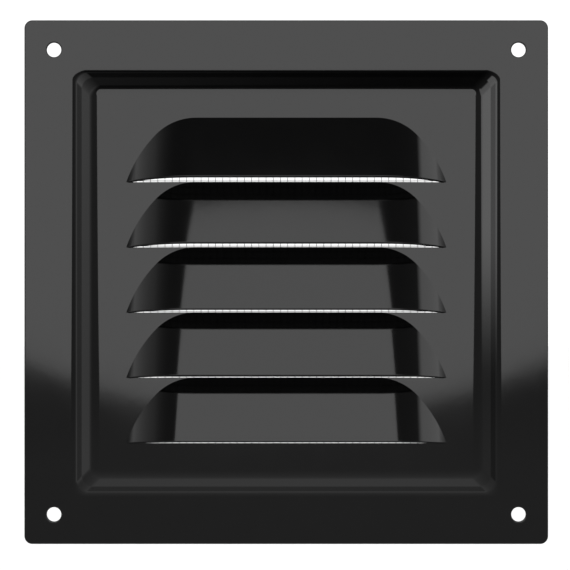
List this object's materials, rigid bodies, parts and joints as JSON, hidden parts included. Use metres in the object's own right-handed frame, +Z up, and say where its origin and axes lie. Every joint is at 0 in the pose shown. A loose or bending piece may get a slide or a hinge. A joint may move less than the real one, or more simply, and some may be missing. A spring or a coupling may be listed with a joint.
{
  "type": "louvred air grille",
  "caption": "Square pressed-steel vent plate with raised centre panel, fixed downward louvres, corner screw holes and insect mesh behind.",
  "frame": {"origin": "centre of the square flange, in the plane of its back face, which lies on the wall", "axes": "+Z up, louvres shedding water downwards; the front of the grille faces -Y, so +Y goes into the wall; +X to the right seen from the front"},
  "size_m": [0.15, 0.0141, 0.15],
  "materials": {
    "gloss_black_paint": "smooth gloss black stove enamel",
    "galvanised_wire": "bright galvanised wire cloth",
    "hot_melt_adhesive": "cloudy, slightly glossy adhesive"
  },
  "bodies": {
    "root": {"faceplate": "gloss_black_paint", "insect_mesh": "galvanised_wire", "glue_dab_01": "hot_melt_adhesive", "glue_dab_02": "hot_melt_adhesive", "glue_dab_03": "hot_melt_adhesive", "glue_dab_04": "hot_melt_adhesive", "glue_dab_05": "hot_melt_adhesive", "glue_dab_06": "hot_melt_adhesive", "glue_dab_07": "hot_melt_adhesive", "glue_dab_08": "hot_melt_adhesive", "glue_dab_09": "hot_melt_adhesive", "glue_dab_10": "hot_melt_adhesive", "glue_dab_11": "hot_melt_adhesive", "glue_dab_12": "hot_melt_adhesive"}
  },
  "joints": []
}
